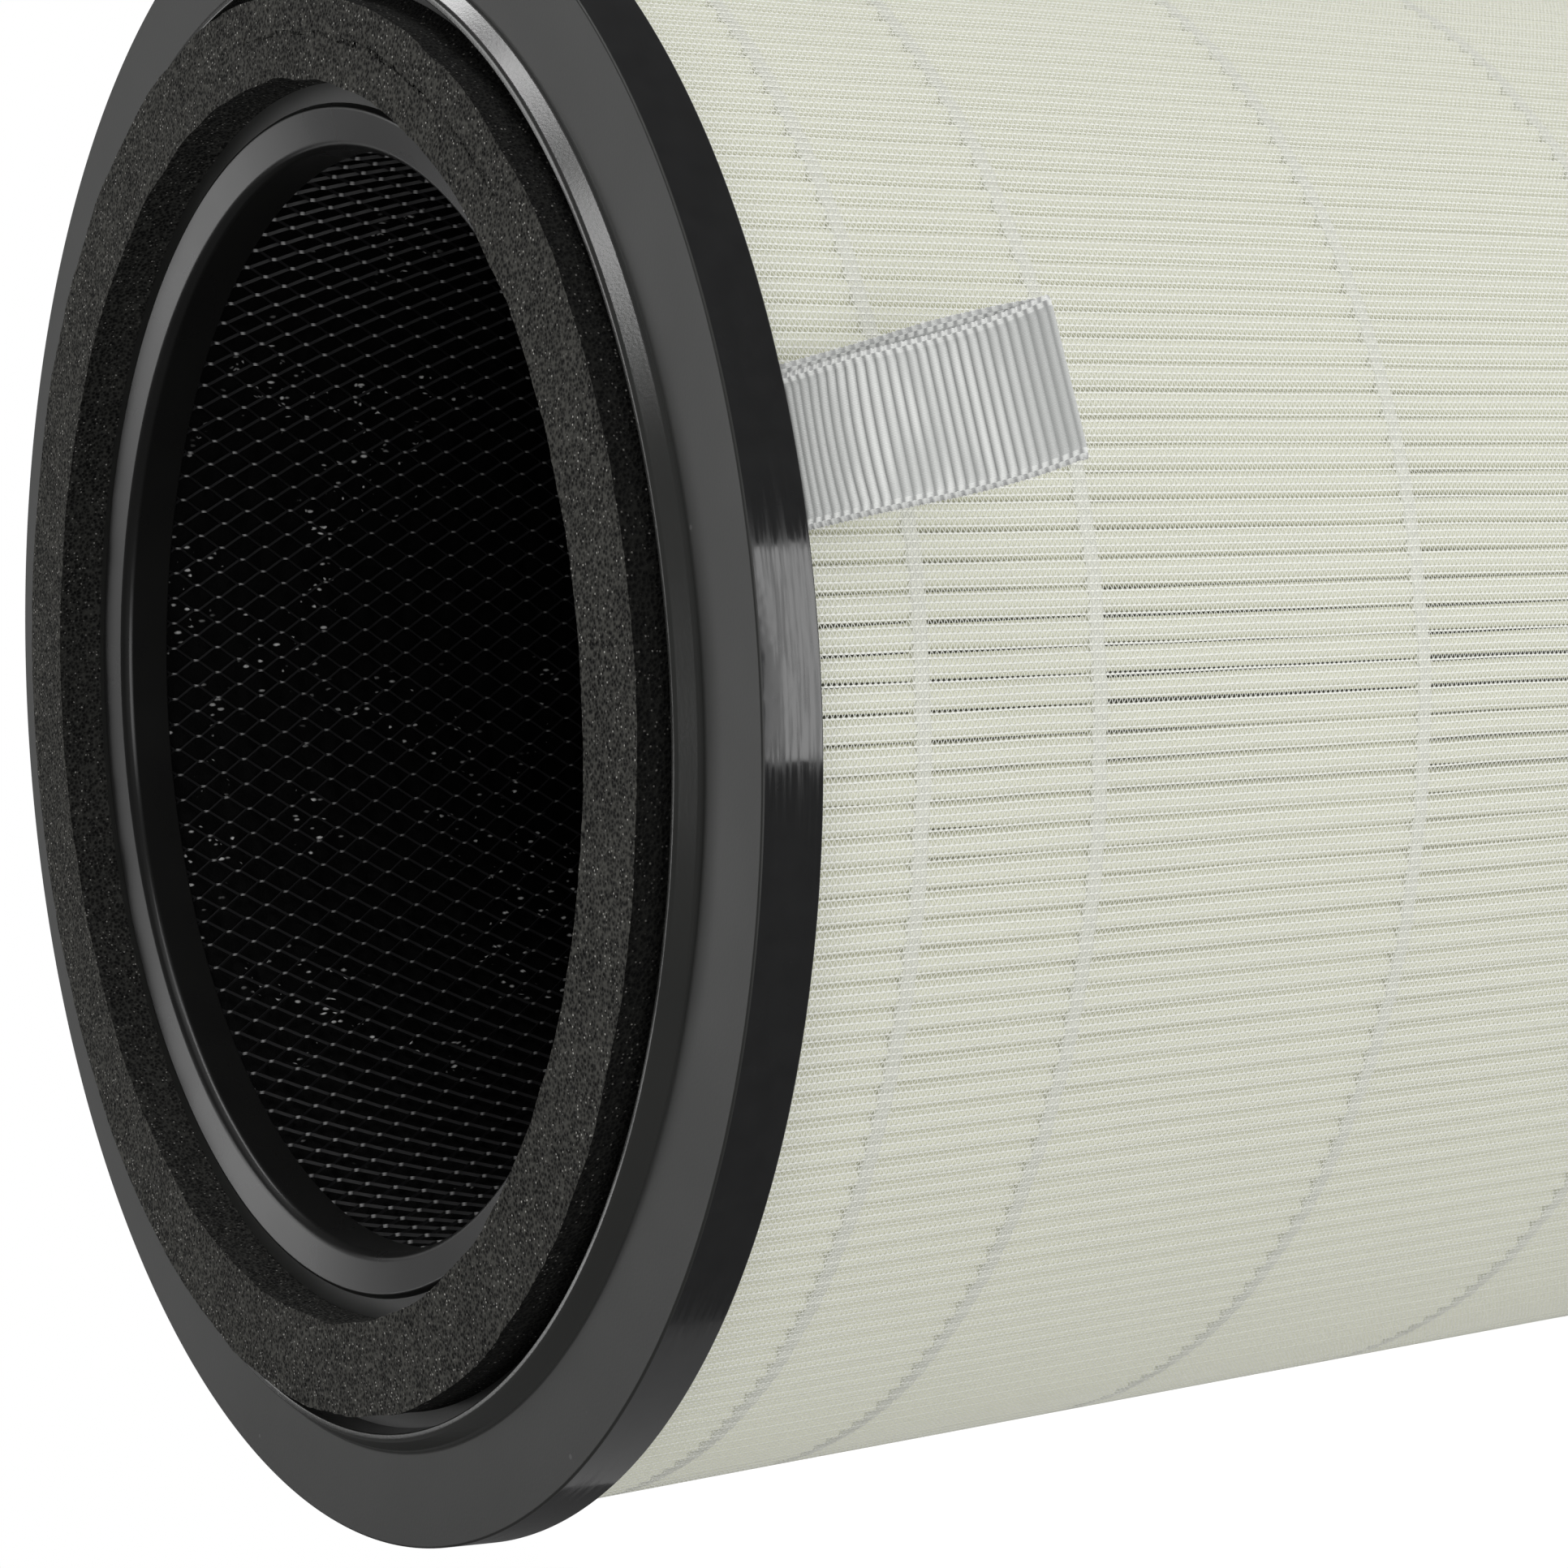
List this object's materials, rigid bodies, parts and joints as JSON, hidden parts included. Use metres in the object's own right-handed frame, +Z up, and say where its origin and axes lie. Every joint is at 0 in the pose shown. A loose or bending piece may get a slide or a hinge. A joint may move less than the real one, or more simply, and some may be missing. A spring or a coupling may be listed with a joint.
{
  "type": "air purifier filter",
  "caption": "Round pleated filter ring between two moulded end caps, with a carbon bed behind a diamond net, a foam gasket and a pull ribbon.",
  "frame": {"origin": "middle of the underside of the closed end cap, where the filter stands", "axes": "+Z up along the filter's axis to the open end, -Y towards the pull ribbon"},
  "size_m": [0.2311, 0.2548, 0.2567],
  "materials": {
    "cap_plastic": "satin moulded plastic",
    "gasket_foam": "open foam, cut",
    "netting": "knitted netting",
    "filter_paper": "matt fibre",
    "liner_cloth": "nonwoven",
    "carbon": "loose granules",
    "net_plastic": "drawn plastic net",
    "ribbon": "ribbed ribbon"
  },
  "bodies": {
    "root": {"open_end_cap": "cap_plastic", "closed_end_cap": "cap_plastic", "gasket_ring": "gasket_foam", "outer_netting": "netting", "pleated_media": "filter_paper", "carbon_cloth": "liner_cloth", "carbon_bed": "carbon", "inner_net": "net_plastic", "pull_ribbon": "ribbon"}
  },
  "joints": []
}
